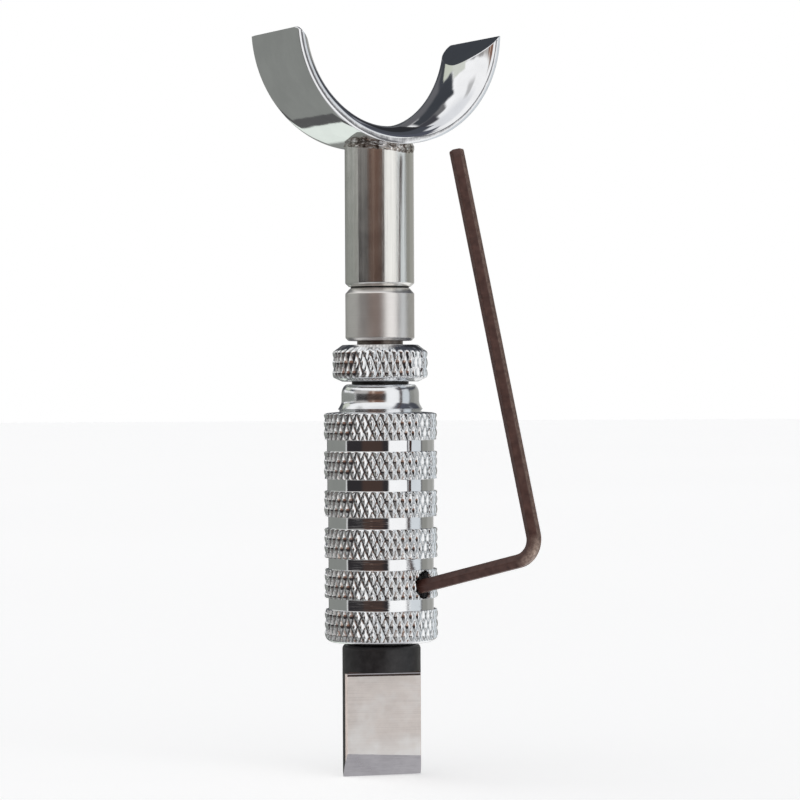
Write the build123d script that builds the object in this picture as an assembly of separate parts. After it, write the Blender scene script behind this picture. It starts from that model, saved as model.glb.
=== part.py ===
from build123d import *
from math import cos, pi, radians, sin, sqrt
import os

# Swivel knife: a finger yoke turns freely on two ball bearings above a knurled
# barrel, and a chisel-edged blade is clamped in the barrel's lower end.
# Millimetres. The origin is on the swivel axis at the lowest point of the cutting
# edge, +Z points up to the yoke, the yoke's arms lie along X and its finger trough
# runs along Y.

# ---- yoke: half-oval section bar bent into a U, flat face outward ----
YOKE_R = 13.57          # outer radius of the bend
YOKE_CZ = 86.47         # height of the bend's centre
YOKE_CX = -0.25         # the bend sits a little off the swivel axis
YOKE_W = 10.94          # width of the bar, along Y
YOKE_EDGE = 0.58        # thickness of the bar at its two edges
YOKE_DOME = 1.80        # rise of the inner dome above the edges
YOKE_LEFT = 86.0        # angle of the -X arm's end from straight down
YOKE_RIGHT = 88.0       # angle of the +X arm's end from straight down
TIP_LENGTH = 4.6        # the inside of each arm is dressed down over this length
TIP_EDGE = 0.10         # thickness left at the very end
TIP_RISE = 2.40         # rise of the dressed face over its length
TIP_POWER = 1.7         # how quickly the dressed face levels out

# ---- post below the yoke, bored for the bearings ----
POST_R = 4.0
POST_Z0 = 56.70
POST_CHAMFER = 0.50
POST_BORE_R = 3.0
POST_BORE_TOP = 69.4
POST_TOP_R = 3.70       # radius of the post inside the braze bead
BRAZE_R = 4.14          # outer radius of the braze bead
BRAZE_Z0 = 71.75        # lower edge of the braze bead

# ---- miniature ball bearings, 3 x 6 x 2.5 ----
BRG_ID_R = 1.5
BRG_OD_R = 3.0
BRG_B = 2.5
BRG_PITCH_R = 2.25
BRG_BALL_R = 0.40
BRG_BALLS = 7
BRG_GROOVE_R = 0.42
BRG_INNER_LAND_R = 1.95
BRG_OUTER_LAND_R = 2.55
CAGE_R0, CAGE_R1 = 2.09, 2.41
CAGE_H = 1.04
POCKET_R = 0.44
SHIELD_T = 0.12
SHIELD_R0 = 2.03
LOWER_BRG_Z = 57.0
SPACER_L = 5.0
UPPER_BRG_Z = LOWER_BRG_Z + BRG_B + SPACER_L

# ---- bearing retaining screw (M2) and its washer ----
RET_WASHER_R = 2.2
RET_WASHER_T = 0.4
RET_SCREW_R = 1.0
RET_SCREW_L = 5.4
RET_HEAD_R = 1.9
RET_HEAD_H = 1.2

# ---- spindle ----
THREAD_R = 2.5          # M5 x 0.8, shown at its major diameter
SPINDLE_Z0 = 32.0
NECK_R = 2.66
NECK_Z0 = 50.0
COLLAR_R = 4.0
COLLAR_Z0 = 50.44
COLLAR_Z1 = 56.50
COLLAR_CHAMFER = (0.55, 0.62)   # top chamfer, across and down
SHOULDER_R = 1.9

# ---- thin washer between the spindle collar and the post ----
SW_WASHER_R0 = 2.1
SW_WASHER_R1 = 3.38
SW_WASHER_T = 0.16

# ---- lock nut and the thin washer below it ----
NUT_R = 5.55
NUT_Z0 = 45.72
NUT_Z1 = 49.95
NUT_RELIEF_R = 2.85
NUT_RELIEF = 0.5
NUT_WASHER_R = 3.3
NUT_WASHER_T = 0.28
THREAD_CLEAR = 0.025    # radial running clearance of the M5 thread

# ---- barrel ----
BARREL_R = 6.6
BARREL_Z0 = 15.6
BARREL_Z1 = 42.20
BARREL_TOP = 45.40      # top of the neck
NECK_TOP_R = 3.75
NECK_MID_R = 4.5
NECK_LOW_R = 4.9
# plain recesses between the knurled bands: (bottom, top, radius)
RECESSES = [
    (19.38, 20.72, 6.10),
    (24.04, 25.36, 6.10),
    (28.75, 30.13, 6.10),
    (33.08, 34.46, 6.19),
    (37.64, 38.97, 6.21),
]
BOTTOM_ROUND = 1.00
SHANK_BORE_R = 3.20
SHANK_BORE_TOP = 30.2
SPOT_R = 4.70           # shallow spotface over the blade's collar
SPOT_DEPTH = 0.10
MOUTH_CHAMFER = 0.30    # chamfer of the bore's mouth

# ---- set screw (M3 x 2) in band 5 ----
SCREW_AZ = 21.3         # degrees from -Y towards +X
SCREW_Z = 22.32
SCREW_HOLE_R = 1.45
SCREW_R = 1.425
SCREW_IN = 3.20         # radius of its point from the swivel axis
SCREW_L = 2.0
SOCKET_AF = 1.5
SOCKET_DEPTH = 1.0

# ---- blade ----
BLADE_R = 4.54
BLADE_TOP = 15.50       # top of the collar
BLADE_SHOULDER = 12.28  # underside of the collar, where the flats end
BLADE_T = 2.9           # thickness between the two flats
ROOT_R = 0.60           # fillet where the flats meet the collar
BEVEL_SLOPE = 1.741     # rise of each bevel over its depth
FRONT_TILT = -0.043     # rise of the front bevel's top line along +X of the blade
BACK_TILT = 0.076       # the same for the back bevel
BLADE_AZ = -20.5        # direction of the front flat, degrees from -Y towards +X
SHANK_R = 3.175
SHANK_TOP = 29.6

# ---- hex key, 1.5 mm across flats, leaning in the set screw's hole ----
KEY_AF = 1.5
KEY_TIP = (5.279, -8.377, 72.15)
KEY_CORNER = (8.797, -19.428, 25.98)
KEY_HOLE = (2.397, -6.149, 22.32)
KEY_IN = 1.05           # how far the short arm goes in beyond KEY_HOLE
KEY_BEND = 2.5

os.makedirs("parts", exist_ok=True)


def turned(points):
    """Solid of revolution about Z from (radius, height) points."""
    wire = Polyline(*[(r, 0, z) for r, z in points], close=True)
    return revolve(make_face(wire), axis=Axis.Z, revolution_arc=360)


def ring(r0, r1, z0, z1):
    return turned([(r0, z0), (r1, z0), (r1, z1), (r0, z1)])


def hexagon_bar(af, length, plane):
    """Hexagonal bar of the given width across flats, from plane along its normal."""
    face = plane * RegularPolygon(radius=af / sqrt(3), side_count=6)
    return extrude(face, amount=length, dir=plane.z_dir)


def write(shape, name):
    solids = shape.solids()
    shape = solids[0] if len(solids) == 1 else Compound(children=solids)
    shape.label = name
    export_step(shape, f"parts/{name}.step")


# ---- yoke ----
r_edge = YOKE_R - YOKE_EDGE
half_w = YOKE_W / 2
outer = Line((YOKE_R, -half_w, 0), (YOKE_R, half_w, 0))
side_b = Line((YOKE_R, half_w, 0), (r_edge, half_w, 0))
side_a = Line((r_edge, -half_w, 0), (YOKE_R, -half_w, 0))
dome_pts = []
for i in range(1, 16):
    t = pi * i / 16
    dome_pts.append((r_edge - YOKE_DOME * sin(t), half_w * cos(t), 0))
dome = Spline((r_edge, half_w, 0), *dome_pts, (r_edge, -half_w, 0))
section = make_face(Curve() + [outer, side_b, dome, side_a])
# The section lies in the XY plane at +X; it turns about Y through the bend.
bar = revolve(section, axis=Axis.Y, revolution_arc=YOKE_LEFT + YOKE_RIGHT)
probe = bar.center()
spin = 90 - YOKE_RIGHT if probe.Z < 0 else 90 + YOKE_LEFT
bar = Rot(0, spin, 0) * bar
yoke = Pos(YOKE_CX, 0, YOKE_CZ) * bar


def on_arm(end, way, s, h):
    """Point in the XZ plane s from an arm's end along the bend and h in from its outer face."""
    a = radians(end) - way * s / YOKE_R
    return Vector(YOKE_CX + (YOKE_R - h) * sin(a), 0, YOKE_CZ - (YOKE_R - h) * cos(a))


# Each arm's inner face is dressed down to a thin end edge.
for end, way in ((YOKE_RIGHT, 1), (-YOKE_LEFT, -1)):
    face_pts = []
    for i in range(0, 9):
        s = TIP_LENGTH * i / 8
        rise = TIP_RISE * (1 - (1 - s / TIP_LENGTH) ** TIP_POWER)
        face_pts.append(on_arm(end, way, s, TIP_EDGE + rise))
    past = on_arm(end, way, -0.5, TIP_EDGE - 0.4)
    beyond = on_arm(end, way, -0.5, 6.0)
    inside = on_arm(end, way, TIP_LENGTH, 6.0)
    dressed = Curve() + [
        Spline(*face_pts),
        Line(face_pts[-1], inside),
        Line(inside, beyond),
        Line(beyond, past),
        Line(past, face_pts[0]),
    ]
    yoke = yoke - extrude(make_face(dressed), amount=10, dir=(0, 1, 0), both=True)
write(yoke, "yoke")

# ---- post, cut to the yoke's outer curve ----
yoke_drum = Pos(YOKE_CX, 0, YOKE_CZ) * Rot(90, 0, 0) * Cylinder(YOKE_R, 40)
post = turned(
    [
        (0, POST_Z0),
        (POST_R - POST_CHAMFER, POST_Z0),
        (POST_R, POST_Z0 + POST_CHAMFER),
        (POST_R, BRAZE_Z0),
        (POST_TOP_R, BRAZE_Z0),
        (POST_TOP_R, 75.0),
        (0, 75.0),
    ]
)
bore = turned(
    [
        (0, POST_Z0 - 1),
        (POST_BORE_R, POST_Z0 - 1),
        (POST_BORE_R, POST_BORE_TOP),
        (0, POST_BORE_TOP + 1.2),
    ]
)
post = post - bore - yoke_drum
write(post, "yoke_post")

# ---- braze bead around the joint of post and yoke ----
braze = turned(
    [
        (POST_TOP_R, BRAZE_Z0),
        (POST_R + 0.05, BRAZE_Z0),
        (BRAZE_R, BRAZE_Z0 + 0.35),
        (BRAZE_R, BRAZE_Z0 + 0.95),
        (POST_R, BRAZE_Z0 + 1.60),
        (POST_R - 0.05, 75.0),
        (POST_TOP_R, 75.0),
    ]
)
braze = braze - yoke_drum
write(braze, "braze_bead")


# ---- ball bearings ----
def bearing(prefix, z0):
    zc = z0 + BRG_B / 2
    groove = Pos(0, 0, zc) * Torus(BRG_PITCH_R, BRG_GROOVE_R)
    write(ring(BRG_ID_R, BRG_INNER_LAND_R, z0, z0 + BRG_B) - groove, prefix + "_inner_ring")
    write(ring(BRG_OUTER_LAND_R, BRG_OD_R, z0, z0 + BRG_B) - groove, prefix + "_outer_ring")
    balls, pockets, cage = [], [], ring(CAGE_R0, CAGE_R1, zc - CAGE_H / 2, zc + CAGE_H / 2)
    for i in range(BRG_BALLS):
        a = 2 * pi * i / BRG_BALLS
        spot = Pos(BRG_PITCH_R * cos(a), BRG_PITCH_R * sin(a), zc)
        balls.append(spot * Sphere(BRG_BALL_R))
        out = Plane(origin=(0, 0, zc), x_dir=(0, 0, 1), z_dir=(cos(a), sin(a), 0))
        pockets.append(extrude(out * Circle(POCKET_R), amount=BRG_OD_R, dir=out.z_dir))
    cage = cage - pockets
    write(Compound(children=balls), prefix + "_balls")
    write(cage, prefix + "_cage")
    shields = [
        ring(SHIELD_R0, BRG_OUTER_LAND_R, z, z + SHIELD_T)
        for z in (z0 + 0.05, z0 + BRG_B - 0.05 - SHIELD_T)
    ]
    write(Compound(children=shields), prefix + "_shields")


bearing("lower_bearing", LOWER_BRG_Z)
bearing("upper_bearing", UPPER_BRG_Z)

# ---- spacers between the bearings ----
gap_z0, gap_z1 = LOWER_BRG_Z + BRG_B, UPPER_BRG_Z
write(ring(BRG_ID_R, BRG_INNER_LAND_R, gap_z0, gap_z1), "inner_spacer")
write(ring(BRG_OUTER_LAND_R, BRG_OD_R, gap_z0, gap_z1), "outer_spacer")

# ---- retaining washer and screw on top of the spindle ----
stack_top = UPPER_BRG_Z + BRG_B
write(ring(RET_SCREW_R, RET_WASHER_R, stack_top, stack_top + RET_WASHER_T), "bearing_washer")
head_z0 = stack_top + RET_WASHER_T
screw = turned(
    [
        (0, head_z0 - RET_SCREW_L),
        (RET_SCREW_R, head_z0 - RET_SCREW_L),
        (RET_SCREW_R, head_z0),
        (RET_HEAD_R, head_z0),
        (RET_HEAD_R, head_z0 + RET_HEAD_H - 0.3),
        (RET_HEAD_R - 0.3, head_z0 + RET_HEAD_H),
        (0, head_z0 + RET_HEAD_H),
    ]
)
screw = screw - Pos(0, 0, head_z0 + RET_HEAD_H) * Box(5, 0.5, 1.1)
write(screw, "bearing_screw")

# ---- spindle ----
pin_top = stack_top - 0.1
spindle = turned(
    [
        (0, SPINDLE_Z0),
        (THREAD_R - 0.5, SPINDLE_Z0),
        (THREAD_R, SPINDLE_Z0 + 0.5),
        (THREAD_R, NECK_Z0),
        (NECK_R, NECK_Z0),
        (NECK_R, COLLAR_Z0),
        (COLLAR_R - 0.25, COLLAR_Z0),
        (COLLAR_R, COLLAR_Z0 + 0.35),
        (COLLAR_R, COLLAR_Z1 - COLLAR_CHAMFER[1]),
        (COLLAR_R - COLLAR_CHAMFER[0], COLLAR_Z1),
        (SHOULDER_R, COLLAR_Z1),
        (SHOULDER_R, LOWER_BRG_Z),
        (BRG_ID_R, LOWER_BRG_Z),
        (BRG_ID_R, pin_top),
        (RET_SCREW_R, pin_top),
        (RET_SCREW_R, head_z0 - RET_SCREW_L - 0.6),
        (0, head_z0 - RET_SCREW_L - 1.2),
    ]
)
write(spindle, "spindle")

# ---- thin washer in the swivel's gap ----
sw_z0 = (COLLAR_Z1 + POST_Z0 - SW_WASHER_T) / 2
write(ring(SW_WASHER_R0, SW_WASHER_R1, sw_z0, sw_z0 + SW_WASHER_T), "swivel_washer")

# ---- lock nut ----
hole_r = THREAD_R + THREAD_CLEAR
nut = turned(
    [
        (hole_r, NUT_Z0),
        (4.42, NUT_Z0),
        (5.42, NUT_Z0 + 0.48),
        (NUT_R, NUT_Z0 + 0.70),
        (NUT_R, NUT_Z1 - 0.95),
        (5.40, NUT_Z1 - 0.75),
        (4.38, NUT_Z1),
        (NUT_RELIEF_R, NUT_Z1),
        (NUT_RELIEF_R, NUT_Z1 - NUT_RELIEF),
        (hole_r, NUT_Z1 - NUT_RELIEF - 0.3),
    ]
)
write(nut, "lock_nut")
nw_z0 = (BARREL_TOP + NUT_Z0 - NUT_WASHER_T) / 2
write(ring(THREAD_R + 0.12, NUT_WASHER_R, nw_z0, nw_z0 + NUT_WASHER_T), "nut_washer")

# ---- barrel ----
shoulder_pts = []
for i in range(0, 7):
    t = radians(90 - 15 * i)
    shoulder_pts.append(
        (
            NECK_TOP_R + (NECK_MID_R - NECK_TOP_R) * cos(t),
            BARREL_TOP - 1.15 + 1.15 * sin(t),
        )
    )
flare_pts = []
for i in range(1, 6):
    t = i / 5
    flare_pts.append((NECK_MID_R + (NECK_LOW_R - NECK_MID_R) * t**1.5, 43.40 - 0.85 * t))
profile = [(0, BARREL_Z0)]
for i in range(0, 7):
    t = radians(-90 + 15 * i)
    profile.append(
        (
            BARREL_R - BOTTOM_ROUND + BOTTOM_ROUND * cos(t),
            BARREL_Z0 + BOTTOM_ROUND + BOTTOM_ROUND * sin(t),
        )
    )
for z0, z1, r in RECESSES:
    profile += [
        (BARREL_R, z0 - 0.14),
        (BARREL_R - 0.14, z0),
        (r, z0),
        (r, z1),
        (BARREL_R - 0.14, z1),
        (BARREL_R, z1 + 0.14),
    ]
profile += [
    (BARREL_R, BARREL_Z1 - 0.36),
    (BARREL_R - 0.40, BARREL_Z1 - 0.12),
    (NECK_LOW_R - 0.15, BARREL_Z1),
    (NECK_LOW_R - 0.15, BARREL_Z1 + 0.20),
    (NECK_LOW_R, BARREL_Z1 + 0.28),
]
profile += flare_pts[::-1]
profile += shoulder_pts[::-1]
profile += [(0, BARREL_TOP)]
barrel = turned(profile)
inside = turned(
    [
        (0, BARREL_Z0 - 1),
        (SPOT_R, BARREL_Z0 - 1),
        (SPOT_R, BARREL_Z0 + SPOT_DEPTH),
        (SHANK_BORE_R + MOUTH_CHAMFER, BARREL_Z0 + SPOT_DEPTH),
        (SHANK_BORE_R, BARREL_Z0 + SPOT_DEPTH + MOUTH_CHAMFER),
        (SHANK_BORE_R, SHANK_BORE_TOP),
        (hole_r, SHANK_BORE_TOP + 0.4),
        (hole_r, BARREL_TOP - 0.25),
        (hole_r + 0.25, BARREL_TOP),
        (hole_r + 0.25, BARREL_TOP + 1),
        (0, BARREL_TOP + 1),
    ]
)
az = radians(SCREW_AZ)
screw_dir = Vector(sin(az), -cos(az), 0)
hole_plane = Plane(origin=(0, 0, SCREW_Z), x_dir=(0, 0, 1), z_dir=screw_dir)
screw_hole = extrude(hole_plane * Circle(SCREW_HOLE_R), amount=BARREL_R + 2, dir=screw_dir)
mouth = Plane(origin=screw_dir * (BARREL_R - 0.25) + Vector(0, 0, SCREW_Z), x_dir=(0, 0, 1), z_dir=screw_dir)
countersink = mouth * Pos(0, 0, 0.5) * Cone(SCREW_HOLE_R, SCREW_HOLE_R + 0.5, 1.0)
barrel = barrel - inside - screw_hole - countersink
write(barrel, "barrel")

# ---- set screw ----
tip = Plane(origin=screw_dir * SCREW_IN + Vector(0, 0, SCREW_Z), x_dir=(0, 0, 1), z_dir=screw_dir)
point = tip * Pos(0, 0, 0.15) * Cone(SCREW_R - 0.3, SCREW_R, 0.3)
body = tip * Pos(0, 0, 0.3 + (SCREW_L - 0.55) / 2) * Cylinder(SCREW_R, SCREW_L - 0.55)
rear = tip * Pos(0, 0, SCREW_L - 0.125) * Cone(SCREW_R, SCREW_R - 0.25, 0.25)
grub = body + point + rear
socket_plane = Plane(origin=screw_dir * (SCREW_IN + SCREW_L - SOCKET_DEPTH) + Vector(0, 0, SCREW_Z), x_dir=(0, 0, 1), z_dir=screw_dir)
grub = grub - hexagon_bar(SOCKET_AF + 0.04, SOCKET_DEPTH + 1, socket_plane)
write(grub, "set_screw")

# ---- blade: round bar with two ground flats, bevelled both sides to the edge ----
blank = turned(
    [
        (0, -1.0),
        (BLADE_R, -1.0),
        (BLADE_R, BLADE_TOP - 0.42),
        (BLADE_R - 0.12, BLADE_TOP - 0.13),
        (BLADE_R - 0.42, BLADE_TOP),
        (SHANK_R, BLADE_TOP),
        (SHANK_R, SHANK_TOP - 0.4),
        (SHANK_R - 0.4, SHANK_TOP),
        (0, SHANK_TOP),
    ]
)
half_t = BLADE_T / 2
# The two bevel planes meet in the cutting edge, which rises along the blade's +X
# and runs slightly across its thickness. Its low end is the origin's height.
edge_rise = (FRONT_TILT + BACK_TILT) / 2
edge_skew = (BACK_TILT - FRONT_TILT) / (2 * BEVEL_SLOPE)
bevel_top = half_t * BEVEL_SLOPE + edge_rise * BLADE_R / sqrt(1 + edge_skew**2)
# Side profile of the flats with their filleted roots, in the YZ plane.
root = []
for i in range(0, 7):
    t = radians(15 * i)
    root.append((half_t + ROOT_R * (1 - cos(t)), BLADE_SHOULDER - ROOT_R + ROOT_R * sin(t)))
side = [(half_t, -2.0)] + root + [(8.0, BLADE_SHOULDER), (8.0, 40.0)]
slab = make_face(
    Polyline(
        *[(0, y, z) for y, z in side],
        *[(0, -y, z) for y, z in side[::-1]],
        close=True,
    )
)
slab = extrude(slab, amount=20, dir=(1, 0, 0), both=True)
front_plane = Plane(
    origin=(0, -half_t, bevel_top),
    z_dir=Vector(-FRONT_TILT, BEVEL_SLOPE, 1).normalized(),
)
back_plane = Plane(
    origin=(0, half_t, bevel_top),
    z_dir=Vector(-BACK_TILT, -BEVEL_SLOPE, 1).normalized(),
)
under = [p * Pos(0, 0, -10) * Box(60, 60, 20) for p in (front_plane, back_plane)]
blade = Rot(0, 0, BLADE_AZ) * ((blank & slab) - under)
write(blade, "blade")

# ---- hex key: long arm, bend, short arm that ends inside the hole ----
t_pt, c_pt, h_pt = Vector(*KEY_TIP), Vector(*KEY_CORNER), Vector(*KEY_HOLE)
into = (h_pt - c_pt).normalized()
end_pt = h_pt + into * KEY_IN
path = FilletPolyline(t_pt, c_pt, end_pt, radius=KEY_BEND)
along = (c_pt - t_pt).normalized()
key_plane = Plane(origin=t_pt, x_dir=(along.cross(into)).normalized(), z_dir=along)
key = sweep(key_plane * RegularPolygon(radius=KEY_AF / sqrt(3), side_count=6, rotation=0), path=path)
write(key, "hex_key")
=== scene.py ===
import math
import bmesh
import bpy
import numpy as np
from mathutils import Matrix, Vector, noise


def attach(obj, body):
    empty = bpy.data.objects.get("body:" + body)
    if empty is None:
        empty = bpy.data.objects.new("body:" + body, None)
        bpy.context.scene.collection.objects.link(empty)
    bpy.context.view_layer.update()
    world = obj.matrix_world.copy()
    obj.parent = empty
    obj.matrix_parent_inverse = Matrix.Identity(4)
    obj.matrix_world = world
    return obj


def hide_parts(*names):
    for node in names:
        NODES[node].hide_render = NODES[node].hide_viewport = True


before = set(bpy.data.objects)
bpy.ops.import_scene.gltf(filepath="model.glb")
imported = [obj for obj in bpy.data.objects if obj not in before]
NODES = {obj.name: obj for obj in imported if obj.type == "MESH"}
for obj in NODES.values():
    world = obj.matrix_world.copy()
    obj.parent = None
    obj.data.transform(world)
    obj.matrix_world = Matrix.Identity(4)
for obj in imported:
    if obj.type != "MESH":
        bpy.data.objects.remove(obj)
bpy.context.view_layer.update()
scene = bpy.context.scene

MM = 0.001
PI = math.pi

# ------------------------------------------------------------------ camera
# The camera looks along -BACK from the object's left front, level with z = 43.56 mm.
RIGHT = Vector((0.8536, -0.5210, 0.0))
BACK = Vector((-0.5210, -0.8536, 0.0))
UP = Vector((0.0, 0.0, 1.0))
roll = math.radians(0.28)
cam_x = RIGHT * math.cos(roll) - UP * math.sin(roll)
cam_y = RIGHT * math.sin(roll) + UP * math.cos(roll)
cam_data = bpy.data.cameras.new("camera")
cam_data.lens = 135.8
cam_data.sensor_width = 36.0
cam_data.clip_start = 0.01
cam_data.clip_end = 50.0
camera = bpy.data.objects.new("camera", cam_data)
scene.collection.objects.link(camera)
place = (RIGHT * 2.285 + BACK * 350.0 + UP * 43.56) * MM
camera.matrix_world = Matrix(
    (
        (cam_x.x, cam_y.x, BACK.x, place.x),
        (cam_x.y, cam_y.y, BACK.y, place.y),
        (cam_x.z, cam_y.z, BACK.z, place.z),
        (0, 0, 0, 1),
    )
)
scene.camera = camera
scene.view_settings.view_transform = "Standard"


# ------------------------------------------------------------------ studio
def build_world():
    world = bpy.data.worlds.new("studio")
    scene.world = world
    world.use_nodes = True
    nt = world.node_tree
    nt.nodes.clear()

    def new(kind, **props):
        n = nt.nodes.new(kind)
        for k, v in props.items():
            setattr(n, k, v)
        return n

    def math_node(op, a, b=None):
        n = new("ShaderNodeMath", operation=op)
        for i, v in enumerate((a, b)):
            if v is None:
                continue
            if isinstance(v, (int, float)):
                n.inputs[i].default_value = v
            else:
                nt.links.new(v, n.inputs[i])
        return n.outputs[0]

    coord = new("ShaderNodeTexCoord")
    direction = coord.outputs["Generated"]

    def dot(vec):
        n = new("ShaderNodeVectorMath", operation="DOT_PRODUCT")
        nt.links.new(direction, n.inputs[0])
        n.inputs[1].default_value = tuple(vec)
        return n.outputs["Value"]

    toward, aside, height = dot(BACK), dot(RIGHT), dot(UP)
    az = math_node("MULTIPLY", math_node("ARCTAN2", aside, toward), 180 / PI)
    el = math_node("MULTIPLY", math_node("ARCSINE", height), 180 / PI)
    # A little unevenness, so that no card's edge is perfectly straight.
    wob = new("ShaderNodeTexNoise")
    wob.inputs["Scale"].default_value = 3.0
    wob.inputs["Detail"].default_value = 2.0
    nt.links.new(direction, wob.inputs["Vector"])
    shift = math_node("MULTIPLY", math_node("SUBTRACT", wob.outputs["Fac"], 0.5), 5.0)
    az = math_node("ADD", az, shift)
    el = math_node("ADD", el, math_node("MULTIPLY", shift, 1.2))

    def edge(value, lo, hi):
        n = new("ShaderNodeMapRange", interpolation_type="SMOOTHSTEP", clamp=True)
        nt.links.new(value, n.inputs["Value"])
        n.inputs["From Min"].default_value = lo
        n.inputs["From Max"].default_value = hi
        return n.outputs["Result"]

    def window(value, lo, hi, soft):
        up = edge(value, lo - soft, lo + soft)
        down = edge(value, hi + soft, hi - soft)
        return math_node("MULTIPLY", up, down)

    colour = None

    def card(az0, az1, el0, el1, rgb, soft_az=2.0, soft_el=2.0, amount=1.0):
        nonlocal colour
        mask = math_node("MULTIPLY", window(az, az0, az1, soft_az), window(el, el0, el1, soft_el))
        if amount != 1.0:
            mask = math_node("MULTIPLY", mask, amount)
        mix = new("ShaderNodeMix", data_type="RGBA", blend_type="MIX")
        nt.links.new(mask, mix.inputs["Factor"])
        if colour is None:
            mix.inputs["A"].default_value = (1.0, 1.0, 1.0, 1.0)
        else:
            nt.links.new(colour, mix.inputs["A"])
        mix.inputs["B"].default_value = (*rgb, 1.0)
        colour = mix.outputs["Result"]

    CARDS = [
        # az0, az1, el0, el1, colour, soft az, soft el, amount
        # ceiling
        (-190, 190, 60, 95, (0.80, 0.81, 0.83), 2, 10),
        (-96, -74, 46, 62, (0.45, 0.45, 0.45), 5, 5, 0.8),
        # underneath, and the grey low down at the left and in front
        (-190, 190, -95, -50, (0.58, 0.58, 0.60), 2, 10),
        (-140, 46, -52, -30, (0.30, 0.30, 0.30), 8, 5),
        # grey wall at the left, behind
        (-200, -80, -42, 8, (0.245, 0.255, 0.24), 2, 2),
        (176, 200, -42, 8, (0.245, 0.255, 0.24), 2, 2),
        # dark blue-grey patches above it
        (-152, -62, 15, 27, (0.060, 0.066, 0.080), 3, 2.0),
        (-172, -140, 7, 45, (0.055, 0.060, 0.070), 2.0, 2.0),
        (-170, -129, 27, 45, (0.055, 0.060, 0.070), 2.5, 2.0),
        (-178, -131, 29, 45, (0.050, 0.055, 0.064), 2.5, 2.0),
        (-178, -146, 44, 53, (0.15, 0.15, 0.155), 3, 2),
        (-190, -160, 44, 62, (0.060, 0.060, 0.070), 3, 4),
        (-190, -150, 16, 29, (0.13, 0.13, 0.14), 3, 3),
        # lower left
        (-157, -148.5, -44, -20, (0.10, 0.10, 0.10), 0.8, 2),
        (-190, -157, -44, -20, (0.80, 0.86, 0.80), 0.8, 2),
        # camera side
        (-142, -108, 17, 27.4, (0.60, 0.63, 0.54), 1.5, 0.8),
        (-128, -108, 24, 33, (0.66, 0.68, 0.62), 1.5, 1.2),
        (-200, -164, -4, 18, (0.085, 0.09, 0.10), 3, 3),
        (170, 200, -4, 18, (0.085, 0.09, 0.10), 3, 3),
        (-84, 17, 5, 27, (0.42, 0.40, 0.385), 3, 3, 0.9),
        (-78, 17, -30, 6, (0.030, 0.028, 0.030), 2.0, 2.0),
        (-70, -26, -32, -11, (0.20, 0.18, 0.17), 5, 3, 0.8),
        (-40, 5, -9, 6, (0.060, 0.040, 0.034), 5, 3),
        (-36, 12, 5, 24, (0.23, 0.125, 0.090), 5, 3),
        (-24, -18, 7, 27, (0.80, 0.66, 0.56), 1.5, 4, 0.8),
        # right
        (98, 150, -22, 24, (0.28, 0.28, 0.26), 2, 4),
        (122, 168, -22, 34, (0.37, 0.37, 0.35), 5, 4, 0.9),
        (66, 98, -40, 26, (0.68, 0.72, 0.75), 1.0, 5),
        (59.5, 63.5, -40, 62, (0.16, 0.16, 0.17), 0.8, 5),
        (97.5, 102, -40, 24, (0.16, 0.16, 0.16), 0.8, 5),
        # dark blue-grey high up at the right, behind
        (56, 104, 28, 74, (0.085, 0.090, 0.115), 4, 3),
        (100, 200, 17, 74, (0.070, 0.075, 0.090), 4, 3),
        (150, 200, 20, 50, (0.028, 0.029, 0.033), 5, 4),
        (108, 150, 36, 40, (0.30, 0.31, 0.34), 6, 1.2, 0.7),
    ]
    for c in CARDS:
        card(*c)

    surround = new("ShaderNodeBackground")
    nt.links.new(colour, surround.inputs["Color"])
    surround.inputs["Strength"].default_value = 1.0
    plain = new("ShaderNodeBackground")
    plain.inputs["Color"].default_value = (1.0, 1.0, 1.0, 1.0)
    path = new("ShaderNodeLightPath")
    pick = new("ShaderNodeMixShader")
    nt.links.new(path.outputs["Is Camera Ray"], pick.inputs["Fac"])
    nt.links.new(surround.outputs[0], pick.inputs[1])
    nt.links.new(plain.outputs[0], pick.inputs[2])
    out = new("ShaderNodeOutputWorld")
    nt.links.new(pick.outputs[0], out.inputs["Surface"])


build_world()

floor_me = bpy.data.meshes.new("floor")
floor_bm = bmesh.new()
bmesh.ops.create_circle(floor_bm, cap_ends=True, segments=64, radius=6.0)
floor_bm.to_mesh(floor_me)
floor_bm.free()
floor = bpy.data.objects.new("floor", floor_me)
floor.location.z = -0.03 * MM
scene.collection.objects.link(floor)
floor.visible_glossy = False


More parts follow.
